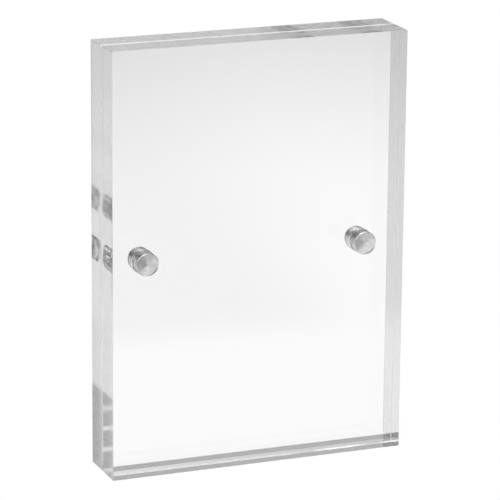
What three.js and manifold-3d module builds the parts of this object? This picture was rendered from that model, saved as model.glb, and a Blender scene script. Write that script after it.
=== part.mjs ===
// Clear acrylic magnetic photo frame.
// Two identical thick blocks with polished edges close face to face on a photo print.
// Plated cylinder magnets, sunk in blind bores at mid height near each side, hold the blocks together.
// One short mating edge of each block has a wide bevel, where a fingernail parts the closed blocks.
// Millimetres, +Z up, the front looks along -Y, origin at the middle of the base.

import * as THREE from 'three';
import { mergeVertices } from 'three/addons/utils/BufferGeometryUtils.js';
import Module from 'manifold-3d';

const wasm = await Module();
wasm.setup();

// Driving dimensions: the blocks, for a print of 5 x 7 in
const FRAME_WIDTH = 127;
const FRAME_HEIGHT = 177.8;
const BLOCK_THICKNESS = 12.7;
const EDGE_CHAMFER = 0.1;
const FINGER_BEVEL = 1;
const PRINT_GAP = 0.3;

// The magnets, 3/8 x 5/16 in, and how far their axes stand from the sides of the blocks
const MAGNET_DIAMETER = 9.525;
const MAGNET_LENGTH = 7.94;
const MAGNET_EDGE_RADIUS = 0.5;
const MAGNET_SIDE_INSET = 15.875;

// The drilled bores that the magnets are glued in: a countersunk mouth, and a blunt cone for a floor
const BORE_RADIAL_CLEARANCE = 0.1;
const GLUE_LINE = 0.2;
const BORE_MOUTH_CHAMFER = 0.4;
const BORE_CONE_DEPTH = 1.15;
const CENTRE_MARK_DIAMETER = 1.2;
const CENTRE_MARK_DEPTH = 0.3;
const CUTTER_OVERSHOOT = 1;

// Fineness of the round forms
const ROUND_SEGMENTS = 64;
const EDGE_SEGMENTS = 3;

// What follows from them
const matingFace = PRINT_GAP / 2;
const magnetAxisX = FRAME_WIDTH / 2 - MAGNET_SIDE_INSET;
const magnetAxisZ = FRAME_HEIGHT / 2;
const magnetRadius = MAGNET_DIAMETER / 2;
const boreRadius = magnetRadius + BORE_RADIAL_CLEARANCE;
const boreDepth = MAGNET_LENGTH + GLUE_LINE;

const acrylic = new THREE.MeshStandardMaterial({
  color: 0xf1f4f4,
  roughness: 0.04,
  metalness: 0,
  transparent: true,
  opacity: 0.3,
});

const nickelPlate = new THREE.MeshStandardMaterial({
  color: 0xbdb9b1,
  roughness: 0.28,
  metalness: 1,
});

// A closed solid from a geometry: shared corners are merged and collapsed triangles dropped.
function toSolid(geometry) {
  const bare = geometry.clone();
  bare.deleteAttribute('normal');
  bare.deleteAttribute('uv');
  const merged = mergeVertices(bare, 1e-5);
  const corners = merged.index.array;
  const kept = [];
  for (let i = 0; i < corners.length; i += 3) {
    const [a, b, c] = corners.slice(i, i + 3);
    if (a !== b && b !== c && c !== a) {
      kept.push(a, b, c);
    }
  }
  return new wasm.Manifold(new wasm.Mesh({
    numProp: 3,
    vertProperties: Float32Array.from(merged.attributes.position.array),
    triVerts: Uint32Array.from(kept),
  }));
}

function toGeometry(solid) {
  const { vertProperties, triVerts } = solid.getMesh();
  const geometry = new THREE.BufferGeometry();
  geometry.setAttribute('position', new THREE.BufferAttribute(vertProperties, 3));
  geometry.setIndex(new THREE.BufferAttribute(triVerts, 1));
  geometry.computeVertexNormals();
  return geometry;
}

// A form turned about the Y direction from (radius, y) points that start and end on the axis.
function turned(profile) {
  return new THREE.LatheGeometry(profile.map(([radius, y]) => new THREE.Vector2(radius, y)), ROUND_SEGMENTS);
}

// The face outline of a block, less the chamfer that the extrusion adds all round.
function faceOutline() {
  const side = FRAME_WIDTH / 2 - EDGE_CHAMFER;
  const low = EDGE_CHAMFER;
  const high = FRAME_HEIGHT - EDGE_CHAMFER;
  const cut = EDGE_CHAMFER / 2;
  return new THREE.Shape([
    new THREE.Vector2(-side + cut, low),
    new THREE.Vector2(side - cut, low),
    new THREE.Vector2(side, low + cut),
    new THREE.Vector2(side, high - cut),
    new THREE.Vector2(side - cut, high),
    new THREE.Vector2(-side + cut, high),
    new THREE.Vector2(-side, high - cut),
    new THREE.Vector2(-side, low + cut),
  ]);
}

// A whole block in front of the plane y = 0, with every edge chamfered.
function blankBlock() {
  const blank = new THREE.ExtrudeGeometry(faceOutline(), {
    depth: BLOCK_THICKNESS - 2 * EDGE_CHAMFER,
    bevelEnabled: true,
    bevelSize: EDGE_CHAMFER,
    bevelThickness: EDGE_CHAMFER,
    bevelSegments: 1,
  });
  blank.rotateX(Math.PI / 2);
  blank.translate(0, -matingFace - EDGE_CHAMFER, 0);
  return blank;
}

// What the bevel takes off the bottom mating edge, along its whole length.
function fingerBevelCutter() {
  const mating = -matingFace;
  const over = CUTTER_OVERSHOOT;
  const section = new THREE.Shape([
    new THREE.Vector2(mating - FINGER_BEVEL - over, -over),
    new THREE.Vector2(mating + over, -over),
    new THREE.Vector2(mating + over, FINGER_BEVEL + over),
  ]);
  const prism = new THREE.ExtrudeGeometry(section, { depth: FRAME_WIDTH + 2 * over, bevelEnabled: false });
  prism.rotateY(Math.PI / 2);
  prism.rotateX(Math.PI / 2);
  prism.translate(-FRAME_WIDTH / 2 - over, 0, 0);
  return prism;
}

// Points of a rounded corner on a turned form, from its end face out to its side.
function roundedCorner(sideRadius, end, cornerRadius, inward) {
  const points = [];
  for (let step = 0; step <= EDGE_SEGMENTS; step += 1) {
    const angle = (step / EDGE_SEGMENTS) * (Math.PI / 2);
    points.push([
      sideRadius - cornerRadius * (1 - Math.sin(angle)),
      end + inward * cornerRadius * (1 - Math.cos(angle)),
    ]);
  }
  return points;
}

// What the bit takes out: the bore with its coned floor, the mark of the bit's centre and the countersunk mouth.
function boreCutter() {
  const mouth = -matingFace;
  const floor = mouth - boreDepth;
  const markRadius = CENTRE_MARK_DIAMETER / 2;
  const coneSlope = BORE_CONE_DEPTH / boreRadius;
  return turned([
    [0, floor - BORE_CONE_DEPTH - CENTRE_MARK_DEPTH],
    [markRadius, floor - BORE_CONE_DEPTH + coneSlope * markRadius],
    [boreRadius, floor],
    [boreRadius, mouth - BORE_MOUTH_CHAMFER],
    [boreRadius + BORE_MOUTH_CHAMFER + CUTTER_OVERSHOOT, mouth + CUTTER_OVERSHOOT],
    [0, mouth + CUTTER_OVERSHOOT],
  ]);
}

// A block with its finger bevel and its two magnet bores.
function finishedBlock() {
  let block = toSolid(blankBlock()).subtract(toSolid(fingerBevelCutter()));
  for (const side of [-1, 1]) {
    const cutter = boreCutter().translate(side * magnetAxisX, 0, magnetAxisZ);
    block = block.subtract(toSolid(cutter));
  }
  return toGeometry(block);
}

// A plated magnet, flush with the mating face, with both rims rounded by the plating.
function magnet() {
  const outer = -matingFace;
  const inner = outer - MAGNET_LENGTH;
  const innerRim = roundedCorner(magnetRadius, inner, MAGNET_EDGE_RADIUS, 1);
  const outerRim = roundedCorner(magnetRadius, outer, MAGNET_EDGE_RADIUS, -1);
  return turned([[0, inner], ...innerRim, ...outerRim.toReversed(), [0, outer]]);
}

function namedMesh(name, geometry, material) {
  const mesh = new THREE.Mesh(geometry, material);
  mesh.name = name;
  return mesh;
}

// One half of the frame: a block and its magnets.
function frameHalf(name) {
  const half = new THREE.Group();
  half.add(namedMesh(`${name}_block`, blockGeometry, acrylic));
  for (const [sideName, side] of [['left', -1], ['right', 1]]) {
    const mesh = namedMesh(`${name}_magnet_${sideName}`, magnetGeometry, nickelPlate);
    mesh.position.set(side * magnetAxisX, 0, magnetAxisZ);
    half.add(mesh);
  }
  return half;
}

const blockGeometry = finishedBlock();
const magnetGeometry = magnet();

// The rear half is the front half turned end over end, so its bevel lies at the top.
const frontHalf = frameHalf('front');
const rearHalf = frameHalf('rear');
rearHalf.rotation.x = Math.PI;
rearHalf.position.z = FRAME_HEIGHT;

const photoFrame = new THREE.Group();
photoFrame.add(frontHalf, rearHalf);

export default photoFrame;
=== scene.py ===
import math
from typing import NamedTuple

import bmesh
import bpy
from mathutils import Matrix, Vector


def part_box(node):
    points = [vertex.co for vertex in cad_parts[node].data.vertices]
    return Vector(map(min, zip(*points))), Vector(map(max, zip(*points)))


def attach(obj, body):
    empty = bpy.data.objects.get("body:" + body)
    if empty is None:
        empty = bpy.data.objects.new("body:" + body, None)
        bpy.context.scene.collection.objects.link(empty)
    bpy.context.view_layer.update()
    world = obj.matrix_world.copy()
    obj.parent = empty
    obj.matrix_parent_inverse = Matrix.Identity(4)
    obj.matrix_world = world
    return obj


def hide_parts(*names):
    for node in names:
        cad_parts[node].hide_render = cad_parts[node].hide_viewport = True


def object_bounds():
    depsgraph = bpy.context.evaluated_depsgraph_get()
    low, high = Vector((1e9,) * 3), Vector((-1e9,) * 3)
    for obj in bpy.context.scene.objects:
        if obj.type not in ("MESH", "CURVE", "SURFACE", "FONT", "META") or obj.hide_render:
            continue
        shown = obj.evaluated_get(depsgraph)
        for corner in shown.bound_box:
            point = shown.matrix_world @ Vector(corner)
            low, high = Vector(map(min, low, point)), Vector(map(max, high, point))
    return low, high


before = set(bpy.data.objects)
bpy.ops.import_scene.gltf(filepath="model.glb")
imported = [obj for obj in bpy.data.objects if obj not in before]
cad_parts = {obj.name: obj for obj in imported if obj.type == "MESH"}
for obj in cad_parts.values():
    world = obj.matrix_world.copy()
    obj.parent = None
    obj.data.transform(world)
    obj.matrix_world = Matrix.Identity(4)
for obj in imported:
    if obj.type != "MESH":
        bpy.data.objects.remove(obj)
cad_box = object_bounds()

MM = 0.001

# Camera, fitted to the corners of the frame in a picture of 500 x 500
VIEW_AZIMUTH = -21.944
VIEW_ELEVATION = 15.597
VIEW_ROLL = 0.519
VIEW_DISTANCE = 1.31295
VIEW_OFFSET = (0.545 * MM, -0.922 * MM)
LENS = 231.06
SENSOR = 36.0
CLIP_START = 0.05
CLIP_END = 50.0

# Blocks: small scraped breaks on the edges, and one wide bevel for a fingernail
EDGE_BREAK = 0.1 * MM
EDGE_STEPS = 2
FINGER_BEVEL = 1.0 * MM

# What tells square edges, sharp creases, square faces and the flat ends of magnets from the rest
SQUARE_EDGE = math.radians(80)
CREASE = math.radians(25)
SMALL_TILT = 0.01
FLAT_END = 0.999

# Places of the block's materials
SHEET_FACE, FINGER_FACE, POLISHED_EDGE, BROKEN_EDGE, BORE_WALL, BORE_FLOOR = range(6)

# Bores: a bit's ring marks on the wall and on the coned floor, and the mark of its centre
BORE_CLEARANCE = 0.1 * MM
GLUE_LINE = 0.2 * MM
BORE_MOUTH = 0.25 * MM
BORE_CONE = 1.15 * MM
CENTRE_MARK_RADIUS = 0.6 * MM
CENTRE_MARK_DEPTH = 0.3 * MM
WALL_RING_PITCH = 0.8 * MM
WALL_RING_WIDTH = 0.25 * WALL_RING_PITCH
WALL_RING_DEPTH = 0.03 * MM
FLOOR_RING_PITCH = 0.55 * MM
FLOOR_RING_DEPTH = 0.006 * MM

# Rounding of the magnets' rims, and the fineness of the turned forms
MAGNET_RIM = 0.5 * MM
CORNER_STEPS = 6
ROUND_STEPS = 96

# Noise in the materials: most of its values lie in this range, and its scales are cycles per metre
NOISE_RANGE = (0.3, 0.7)
NOISE_DETAIL = 3.0
WAVE_DETAIL = 1.0

# Sheet faces and finger bevel
ACRYLIC_IOR = 1.49
FACE_TINT = 0.985
FACE_ROUGHNESS = (0.02, 0.06)
FINGER_ROUGHNESS = (0.14, 0.2)
FACE_HAZE_SCALE = (140, 140, 140)
FACE_WAVE_SCALE = (18, 18, 18)
FACE_WAVE_HEIGHT = 0.02 * MM

# Polished edges, which scatter a share of what they mirror
EDGE_PASS = 0.89
EDGE_MIRROR = 0.86
EDGE_SCATTER = 0.16
SCATTER_ROUGHNESS = 0.9
EDGE_ROUGHNESS = (0.03, 0.07)
EDGE_LINE_SCALE = (25, 2600, 25)
EDGE_LINE_HEIGHT = 0.0006 * MM

# Scraped breaks
BREAK_PASS = 0.86
BREAK_MIRROR = 0.80
BREAK_ROUGHNESS = (0.35, 0.5)
BREAK_GRAIN_SCALE = (1500, 1500, 1500)
BREAK_GRAIN_HEIGHT = 0.004 * MM

# Drilled surfaces, with patches that mirror more or less light
BORE_PASS = 0.97
BORE_MARK_SCALE = (900, 2400, 900)
BORE_MARK_HEIGHT = 0.003 * MM
WALL_MIRROR = ((0.35, 0.35), (0.65, 0.97))
WALL_PATCH_SCALE = (60, 1100, 60)
WALL_ROUGHNESS = (0.18, 0.3)
FLOOR_MIRROR = ((0.3, 0.5), (0.7, 0.75))
FLOOR_PATCH_SCALE = (420, 260, 420)
FLOOR_ROUGHNESS = (0.06, 0.14)

# Nickel plating
NICKEL_LEVELS = ((0.3, 0.68), (0.7, 0.86))
NICKEL_ROUGHNESS = (0.12, 0.2)
NICKEL_CLOUD_SCALE = (600, 600, 600)
NICKEL_GRAIN_SCALE = (5000, 5000, 5000)
NICKEL_GRAIN_HEIGHT = 0.002 * MM

# Floor of the studio: its painted brightness, a glow that falls off with the distance from the frame in
# metres, and how much of it is shown by that painted glow in metal and glass and as white to the camera, the
# rest being lit and shaded as paper is
FLOOR_Z = -0.15 * MM
FLOOR_RADIUS = 4.0
# Painted light: the glow of the floor, falling off with the distance from the frame
PAINTED_FLOOR_FALLOFF = (
    (0.0, 0.98), (0.2, 0.98), (0.35, 0.975), (0.48, 0.955), (0.6, 0.895), (0.8, 0.78), (1.0, 0.66))
FLOOR_WHITE = 0.9
FLOOR_GLASS_SHARE = 0.88
FLOOR_SHARE = 0.9


class PaintedShadeZone(NamedTuple):
    """Painted shade on a part of the floor, which spreads from a start point towards one side.

    It sets in between two cosines of the angle from that side and between two distances from the start.
    """

    start: tuple
    toward: tuple
    cosines: tuple
    distances: tuple
    share_left: float


# Zones of painted shade: one lies in front, to the left, and the other takes the whole left side
PAINTED_SHADE_ZONES = (
    PaintedShadeZone((0.0, 0.3, 0.0), (-0.6, -0.8, 0.0), (0.59, 0.71), (0.45, 0.51), 0.38),
    PaintedShadeZone((0.0, -0.2, 0.0), (-1.0, 0.0, 0.0), (-0.05, 0.08), (0.26, 0.40), 0.88),
)

# Walls of the studio: brightness by the height of the line of sight, and where one part passes into the next
BACK_FAR_LEFT = ((0.0, 0.85), (0.1, 0.5), (0.2, 0.1), (0.5, 0.08), (0.65, 0.8), (0.88, 1.7))
BACK_LEFT = (
    (0.0, 1.0), (0.06, 0.98), (0.2, 0.65), (0.30, 0.45), (0.39, 0.46), (0.5, 0.85), (0.64, 1.2), (0.88, 1.35))
BACK_RIGHT = ((0.0, 0.8), (0.06, 0.75), (0.2, 0.44), (0.30, 0.43), (0.39, 0.42), (0.64, 0.68), (0.88, 1.0))
FRONT_LEFT = ((0.0, 0.5), (0.25, 0.6), (0.4, 1.6), (0.55, 2.3), (0.95, 2.2))
FRONT_RIGHT = ((0.0, 0.68), (0.39, 0.70), (0.64, 0.9), (0.88, 1.0))
FAR_LEFT_TO_LEFT = (-0.1, 0.2)
LEFT_TO_RIGHT = (0.25, 0.41)
FRONT_LEFT_TO_RIGHT = (0.0, 0.25)
FRONT_TO_BACK = (-0.15, 0.15)

# Bounces enough for light that runs to and fro inside the blocks
ALL_BOUNCES = 64
GLASS_BOUNCES = 48
DIFFUSE_BOUNCES = 4


def grey(level):
    return (level, level, level, 1)


class Nodes:
    """A node tree with short calls for adding and linking nodes."""

    def __init__(self, owner):
        owner.use_nodes = True
        self.tree = owner.node_tree
        self.tree.nodes.clear()

    def add(self, kind, inputs=None, **settings):
        """A new node, with each input linked to a socket or set to a value."""
        node = self.tree.nodes.new(kind)
        for key, value in settings.items():
            setattr(node, key, value)
        for key, value in (inputs or {}).items():
            socket = node.inputs[key]
            if isinstance(value, bpy.types.NodeSocket):
                self.tree.links.new(value, socket)
            else:
                socket.default_value = value
        return node

    def number(self, operation, first, second):
        return self.add("ShaderNodeMath", {0: first, 1: second}, operation=operation).outputs[0]

    def vector(self, operation, *values):
        """A vector operation's result, which is a number for a length or a dot product."""
        node = self.add("ShaderNodeVectorMath", dict(enumerate(values)), operation=operation)
        return node.outputs["Value" if operation in ("LENGTH", "DOT_PRODUCT") else "Vector"]

    def ramp(self, value, stops):
        """A grey level that follows a value through stops of (value, level)."""
        node = self.add("ShaderNodeValToRGB", {0: value})
        items = node.color_ramp.elements
        while len(items) < len(stops):
            items.new(1.0)
        for item, (at, level) in zip(items, stops):
            item.position = at
            item.color = grey(level)
        return node.outputs["Color"]

    def noise(self, scale, detail=NOISE_DETAIL):
        """Noise over the piece's own coordinates in metres, with its own scale along each axis."""
        place = self.add("ShaderNodeTexCoord").outputs["Object"]
        mapping = self.add("ShaderNodeMapping", {"Vector": place, "Scale": scale})
        inputs = {"Vector": mapping.outputs["Vector"], "Scale": 1.0, "Detail": detail}
        return self.add("ShaderNodeTexNoise", inputs).outputs["Fac"]

    def spread(self, noise, low, high):
        """Noise brought to run from low to high."""
        start, end = NOISE_RANGE
        inputs = {"Value": noise, "From Min": start, "From Max": end, "To Min": low, "To Max": high}
        return self.add("ShaderNodeMapRange", inputs).outputs["Result"]

    def bump(self, height, distance):
        inputs = {"Height": height, "Distance": distance, "Strength": 1.0}
        return self.add("ShaderNodeBump", inputs).outputs["Normal"]

    def eased(self, value, start, end):
        """A smooth step from 0 to 1 while the value goes from start to end."""
        inputs = {"Value": value, "From Min": start, "From Max": end}
        return self.add("ShaderNodeMapRange", inputs, interpolation_type="SMOOTHSTEP").outputs["Result"]

    def blended(self, value, limits, first, second):
        """A grey that passes from the first ramp to the second as the value passes between its limits."""
        mix = self.add("ShaderNodeMix", data_type="RGBA")
        for place, socket in ((0, self.eased(value, *limits)), (6, first), (7, second)):
            self.tree.links.new(socket, mix.inputs[place])
        return mix.outputs[2]


def new_material(name):
    material = bpy.data.materials.new(name)
    return material, Nodes(material)


def finish_material(nodes, shader):
    nodes.add("ShaderNodeOutputMaterial", {"Surface": shader.outputs[0]})


def face_material(name, roughness_range):
    """A polished face of the sheet, with the slow waviness of cast acrylic."""
    material, nodes = new_material(name)
    waves = nodes.noise(FACE_WAVE_SCALE, WAVE_DETAIL)
    haze = nodes.noise(FACE_HAZE_SCALE)
    shader = nodes.add("ShaderNodeBsdfPrincipled", {
        "Base Color": grey(FACE_TINT), "IOR": ACRYLIC_IOR, "Transmission Weight": 1.0,
        "Roughness": nodes.spread(haze, *roughness_range), "Normal": nodes.bump(waves, FACE_WAVE_HEIGHT)})
    finish_material(nodes, shader)
    return material


def lossy_glass(nodes, passed, mirrored, roughness, normal, scatter=0.0):
    """Glass with a cut face: it dims what it passes and mirrors, and may scatter some of what it mirrors."""
    bend = nodes.add("ShaderNodeBsdfRefraction", {
        "Color": passed, "Roughness": roughness, "IOR": ACRYLIC_IOR, "Normal": normal})
    mirror = nodes.add("ShaderNodeBsdfGlossy", {"Color": mirrored, "Roughness": roughness, "Normal": normal})
    if scatter:
        haze = nodes.add("ShaderNodeBsdfGlossy", {"Color": mirrored, "Roughness": SCATTER_ROUGHNESS})
        mirror = nodes.add("ShaderNodeMixShader", {0: scatter, 1: mirror.outputs[0], 2: haze.outputs[0]})
    share = nodes.add("ShaderNodeFresnel", {"IOR": ACRYLIC_IOR, "Normal": normal})
    return nodes.add("ShaderNodeMixShader", {0: share.outputs[0], 1: bend.outputs[0], 2: mirror.outputs[0]})


def edge_material():
    """The cut and polished edges: fine lines of the polishing wheel run along each edge."""
    material, nodes = new_material("acrylic_edge")
    lines = nodes.noise(EDGE_LINE_SCALE)
    roughness = nodes.spread(lines, *EDGE_ROUGHNESS)
    normal = nodes.bump(lines, EDGE_LINE_HEIGHT)
    shader = lossy_glass(nodes, grey(EDGE_PASS), grey(EDGE_MIRROR), roughness, normal, EDGE_SCATTER)
    finish_material(nodes, shader)
    return material


def break_material():
    """The narrow scraped breaks between the polished faces: satin, with the grain of the scraper."""
    material, nodes = new_material("acrylic_broken_edge")
    grain = nodes.noise(BREAK_GRAIN_SCALE)
    roughness = nodes.spread(grain, *BREAK_ROUGHNESS)
    normal = nodes.bump(grain, BREAK_GRAIN_HEIGHT)
    finish_material(nodes, lossy_glass(nodes, grey(BREAK_PASS), grey(BREAK_MIRROR), roughness, normal))
    return material


def bore_material(name, roughness_range, mirror_stops, patch_scale):
    """A drilled surface of a bore: fine marks of the bit, and patches that mirror less, wetted by glue."""
    material, nodes = new_material(name)
    marks = nodes.noise(BORE_MARK_SCALE)
    mirrored = nodes.ramp(nodes.noise(patch_scale), mirror_stops)
    roughness = nodes.spread(marks, *roughness_range)
    normal = nodes.bump(marks, BORE_MARK_HEIGHT)
    finish_material(nodes, lossy_glass(nodes, grey(BORE_PASS), mirrored, roughness, normal))
    return material


def nickel_material():
    """Nickel plating: neutral grey, a little uneven in tone and gloss."""
    material, nodes = new_material("nickel_plate")
    clouds = nodes.noise(NICKEL_CLOUD_SCALE)
    grain = nodes.noise(NICKEL_GRAIN_SCALE)
    shader = nodes.add("ShaderNodeBsdfPrincipled", {
        "Metallic": 1.0, "Base Color": nodes.ramp(clouds, NICKEL_LEVELS),
        "Roughness": nodes.spread(clouds, *NICKEL_ROUGHNESS),
        "Normal": nodes.bump(grain, NICKEL_GRAIN_HEIGHT)})
    finish_material(nodes, shader)
    return material


def block_materials():
    """The block's materials, in the order of their places."""
    return [
        face_material("acrylic_face", FACE_ROUGHNESS),
        face_material("acrylic_finger_bevel", FINGER_ROUGHNESS),
        edge_material(),
        break_material(),
        bore_material("acrylic_bore_wall", WALL_ROUGHNESS, WALL_MIRROR, WALL_PATCH_SCALE),
        bore_material("acrylic_bore_floor", FLOOR_ROUGHNESS, FLOOR_MIRROR, FLOOR_PATCH_SCALE),
    ]


def corners(box):
    low, high = box
    return Vector(low), Vector(high)


def rounded_corner(radius, end, corner, inward):
    """Points of a rounded corner on a turned form, from its end face out to its side."""
    points = []
    for step in range(CORNER_STEPS + 1):
        angle = math.pi / 2 * step / CORNER_STEPS
        out = radius - corner * (1 - math.sin(angle))
        along = end + inward * corner * (1 - math.cos(angle))
        points.append((out, along))
    return points


def turned(mesh, profile, centre):
    """Faces turned about a line along Y through centre; returns the rings of vertices and the faces."""
    rings = []
    for radius, y in profile:
        steps = ROUND_STEPS if radius else 1
        ring = []
        for step in range(steps):
            angle = 2 * math.pi * step / ROUND_STEPS
            place = (centre.x + radius * math.cos(angle), y, centre.z + radius * math.sin(angle))
            ring.append(mesh.verts.new(place))
        rings.append(ring)
    faces = []
    for low, high in zip(rings, rings[1:]):
        for step in range(ROUND_STEPS):
            after = step + 1
            places = ((low, step), (low, after), (high, after), (high, step))
            # A ring on the axis is a single vertex, which counts once
            verts = dict.fromkeys(ring[index % len(ring)] for ring, index in places)
            faces.append(mesh.faces.new(list(verts)))
    return rings, faces


def new_piece(mesh, name, materials):
    data = bpy.data.meshes.new(name)
    mesh.to_mesh(data)
    mesh.free()
    for material in materials:
        data.materials.append(material)
    piece = bpy.data.objects.new(name, data)
    bpy.context.scene.collection.objects.link(piece)
    return piece


def bore_profile(magnet_radius, magnet_length, mating_y, inward):
    """Outline of a bore from mouth to centre mark, with the bit's rings, and which of its steps are wall."""
    radius = magnet_radius + BORE_CLEARANCE
    depth = magnet_length + GLUE_LINE
    outline = [(radius + BORE_MOUTH, 0.0), (radius, BORE_MOUTH)]
    rings = int((depth - BORE_MOUTH) / WALL_RING_PITCH)
    for ring in range(1, rings + 1):
        at = BORE_MOUTH + ring * WALL_RING_PITCH
        outline.append((radius, at - WALL_RING_WIDTH))
        outline.append((radius + WALL_RING_DEPTH, at))
    outline.append((radius, depth))
    wall = range(len(outline) - 1)
    slope = BORE_CONE / radius
    rings = int((radius - CENTRE_MARK_RADIUS) / FLOOR_RING_PITCH)
    for ring in range(1, rings + 1):
        at = radius - ring * FLOOR_RING_PITCH
        ridge = FLOOR_RING_DEPTH if ring % 2 else 0.0
        outline.append((at, depth + slope * (radius - at) + ridge))
    outline.append((CENTRE_MARK_RADIUS, depth + slope * (radius - CENTRE_MARK_RADIUS)))
    outline.append((0.0, depth + BORE_CONE + CENTRE_MARK_DEPTH))
    return [(at, mating_y + inward * deep) for at, deep in outline], wall


def plain_block(low, high, bevel_y, bevel_z):
    """A block with a wide bevel on the mating edge at (bevel_y, bevel_z) and small breaks on the others."""
    mesh = bmesh.new()
    place = Matrix.Translation((low + high) / 2) @ Matrix.Diagonal(high - low).to_4x4()
    bmesh.ops.create_cube(mesh, size=1, matrix=place)
    corner = Vector((0, bevel_y, bevel_z))
    finger_edge = [edge for edge in mesh.edges
                   if all((vert.co - corner).yz.length < EDGE_BREAK for vert in edge.verts)]
    bmesh.ops.bevel(mesh, geom=finger_edge, offset=FINGER_BEVEL, segments=1, profile=0.5, affect="EDGES")
    square_edges = [edge for edge in mesh.edges if edge.calc_face_angle() > SQUARE_EDGE]
    bmesh.ops.bevel(mesh, geom=square_edges, offset=EDGE_BREAK, segments=EDGE_STEPS, profile=0.5,
                    affect="EDGES", clamp_overlap=True)
    return mesh


def surface_kind(face):
    """The place of the material that a flat face of a block takes, by the way it looks."""
    across, along, up = (abs(part) for part in face.normal)
    square = 1 - SMALL_TILT
    if across < SMALL_TILT and abs(along - up) < SMALL_TILT:
        return FINGER_FACE
    if along > square:
        return SHEET_FACE
    return POLISHED_EDGE if max(across, up) > square else BROKEN_EDGE


def take_mating_face(mesh, mating_y):
    """Takes the large mating face away and returns the edges round it."""
    level = [face for face in mesh.faces if abs(face.calc_center_median().y - mating_y) < EDGE_BREAK / 2]
    mating = max(level, key=lambda face: face.calc_area())
    rim_edges = list(mating.edges)
    bmesh.ops.delete(mesh, geom=[mating], context="FACES_ONLY")
    return rim_edges


def add_bore(mesh, magnet, mating_y, inward):
    """The bore round a magnet; returns the edges of its mouth, and the place of each face's material."""
    low, high = corners(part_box(magnet))
    profile, wall = bore_profile((high.x - low.x) / 2, high.y - low.y, mating_y, inward)
    rings, faces = turned(mesh, profile, (low + high) / 2)
    mouth = rings[0]
    mouth_edges = [mesh.edges.get((mouth[step - 1], mouth[step])) for step in range(ROUND_STEPS)]
    kinds = {face: BORE_WALL if index // ROUND_STEPS in wall else BORE_FLOOR
             for index, face in enumerate(faces)}
    return mouth_edges, kinds


def block_piece(name, node, magnets, bevel_top, materials):
    low, high = corners(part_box(node))
    front = (low.y + high.y) / 2 < 0
    mating_y = high.y if front else low.y
    inward = -1 if front else 1
    mesh = plain_block(low, high, mating_y, high.z if bevel_top else low.z)
    rim_edges = take_mating_face(mesh, mating_y)
    bored = {}
    for magnet in magnets:
        mouth_edges, kinds = add_bore(mesh, magnet, mating_y, inward)
        rim_edges += mouth_edges
        bored.update(kinds)
    bmesh.ops.triangle_fill(mesh, edges=rim_edges, use_beauty=True)
    bmesh.ops.recalc_face_normals(mesh, faces=mesh.faces)
    for face in mesh.faces:
        face.smooth = face in bored
        face.material_index = bored.get(face, surface_kind(face))
    for edge in mesh.edges:
        edge.smooth = edge.calc_face_angle(0) < CREASE
    return new_piece(mesh, name, materials)


def magnet_piece(name, node, material):
    low, high = corners(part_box(node))
    radius = (high.x - low.x) / 2
    profile = [(0, low.y), *rounded_corner(radius, low.y, MAGNET_RIM, 1)]
    profile += [*reversed(rounded_corner(radius, high.y, MAGNET_RIM, -1)), (0, high.y)]
    mesh = bmesh.new()
    turned(mesh, profile, (low + high) / 2)
    bmesh.ops.recalc_face_normals(mesh, faces=mesh.faces)
    for face in mesh.faces:
        face.smooth = abs(face.normal.y) < FLAT_END
    return new_piece(mesh, name, [material])


def dress(piece, node, body):
    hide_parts(node)
    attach(piece, body)


def build_object():
    acrylic = block_materials()
    nickel = nickel_material()
    for half in ("front", "rear"):
        body = f"{half}_half"
        magnets = [f"{half}_magnet_{side}" for side in ("left", "right")]
        block = block_piece(f"{half}_polished_block", f"{half}_block", magnets, half == "rear", acrylic)
        dress(block, f"{half}_block", body)
        for node in magnets:
            piece = magnet_piece(f"{node}_plated", node, nickel)
            dress(piece, node, body)


def light_left(nodes, place, zone):
    """Share of the painted light left at a place on the floor by a zone of painted shade, which shows only in
    mirrored light.
    """
    offset = nodes.vector("SUBTRACT", place, zone.start)
    facing = nodes.vector("DOT_PRODUCT", nodes.vector("NORMALIZE", offset), zone.toward)
    inside = nodes.eased(facing, *zone.cosines)
    beyond = nodes.eased(nodes.vector("LENGTH", offset), *zone.distances)
    mirrored = nodes.add("ShaderNodeLightPath").outputs["Glossy Depth"]
    shown = nodes.number("MULTIPLY", nodes.number("MULTIPLY", inside, beyond), mirrored)
    inputs = {"Value": shown, "To Min": 1.0, "To Max": zone.share_left}
    return nodes.add("ShaderNodeMapRange", inputs).outputs["Result"]


def painted_floor_light(nodes):
    """Painted light on the floor by place: a glow that falls off with distance, and is lowered by painted
    shade in the shade zones.
    """
    place = nodes.add("ShaderNodeTexCoord").outputs["Object"]
    level = nodes.ramp(nodes.vector("LENGTH", place), PAINTED_FLOOR_FALLOFF)
    for zone in PAINTED_SHADE_ZONES:
        level = nodes.number("MULTIPLY", level, light_left(nodes, place, zone))
    return level


def floor_material():
    """A pale sheet with the frame's shadow: white to the camera, and in metal and glass a painted glow with
    painted falloff and shade.
    """
    material, nodes = new_material("pale_floor")
    path = nodes.add("ShaderNodeLightPath").outputs
    sheet = nodes.add("ShaderNodeBsdfDiffuse", {"Color": grey(FLOOR_WHITE)})
    # Painted light and shade: the floor glows at its painted level, seen in metal and glass
    painted_glow = nodes.add("ShaderNodeEmission", {"Strength": painted_floor_light(nodes)})
    white = nodes.add("ShaderNodeEmission", {"Strength": 1.0})
    in_glass = nodes.number("MAXIMUM", path["Is Glossy Ray"], path["Is Transmission Ray"])
    views = ((in_glass, FLOOR_GLASS_SHARE, painted_glow), (path["Is Camera Ray"], FLOOR_SHARE, white))
    for seen, share, light in views:
        part = nodes.number("MULTIPLY", seen, share)
        sheet = nodes.add("ShaderNodeMixShader", {0: part, 1: sheet.outputs[0], 2: light.outputs[0]})
    finish_material(nodes, sheet)
    return material


def build_floor():
    mesh = bmesh.new()
    bmesh.ops.create_circle(mesh, cap_ends=True, segments=ROUND_STEPS, radius=FLOOR_RADIUS)
    floor = new_piece(mesh, "floor", [floor_material()])
    floor.location.z = FLOOR_Z


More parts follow.
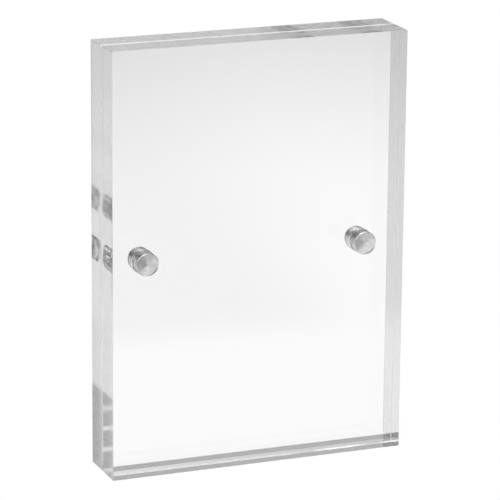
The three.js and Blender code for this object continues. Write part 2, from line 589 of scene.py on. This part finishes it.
def build_world():
    """Studio walls that change with height and side, and white where the camera looks past the frame."""
    world = bpy.data.worlds.new("studio")
    bpy.context.scene.world = world
    nodes = Nodes(world)
    sight = nodes.add("ShaderNodeTexCoord").outputs["Generated"]
    across, along, height = nodes.add("ShaderNodeSeparateXYZ", {0: sight}).outputs
    far_left, left, right, front_left, front_right = (nodes.ramp(height, stops) for stops in (
        BACK_FAR_LEFT, BACK_LEFT, BACK_RIGHT, FRONT_LEFT, FRONT_RIGHT))
    near = nodes.blended(across, LEFT_TO_RIGHT, left, right)
    behind = nodes.blended(across, FAR_LEFT_TO_LEFT, far_left, near)
    in_front = nodes.blended(across, FRONT_LEFT_TO_RIGHT, front_left, front_right)
    walls = nodes.blended(along, FRONT_TO_BACK, in_front, behind)
    studio = nodes.add("ShaderNodeBackground", {"Color": walls})
    white = nodes.add("ShaderNodeBackground", {"Color": grey(1)})
    camera = nodes.add("ShaderNodeLightPath").outputs["Is Camera Ray"]
    mix = nodes.add("ShaderNodeMixShader", {0: camera, 1: studio.outputs[0], 2: white.outputs[0]})
    nodes.add("ShaderNodeOutputWorld", {"Surface": mix.outputs[0]})


def build_camera():
    azimuth, elevation, roll = (math.radians(angle) for angle in (VIEW_AZIMUTH, VIEW_ELEVATION, VIEW_ROLL))
    level = math.cos(elevation)
    back = Vector((math.sin(azimuth) * level, -math.cos(azimuth) * level, math.sin(elevation)))
    turn = back.to_track_quat("Z", "Y").to_matrix() @ Matrix.Rotation(roll, 3, "Z")
    low, high = corners(cad_box)
    place = (low + high) / 2 + turn @ Vector((*VIEW_OFFSET, VIEW_DISTANCE))
    data = bpy.data.cameras.new("camera")
    data.sensor_width = SENSOR
    data.lens = LENS
    data.clip_start = CLIP_START
    data.clip_end = CLIP_END
    camera = bpy.data.objects.new("camera", data)
    camera.matrix_world = Matrix.Translation(place) @ turn.to_4x4()
    bpy.context.scene.collection.objects.link(camera)
    bpy.context.scene.camera = camera


def settle_view():
    """Standard view, and sharp mirroring through many bounces."""
    scene = bpy.context.scene
    scene.view_settings.view_transform = "Standard"
    scene.cycles.max_bounces = ALL_BOUNCES
    scene.cycles.glossy_bounces = GLASS_BOUNCES
    scene.cycles.transmission_bounces = GLASS_BOUNCES
    scene.cycles.diffuse_bounces = DIFFUSE_BOUNCES
    scene.cycles.blur_glossy = 0.0


build_object()
build_floor()
build_world()
build_camera()
settle_view()
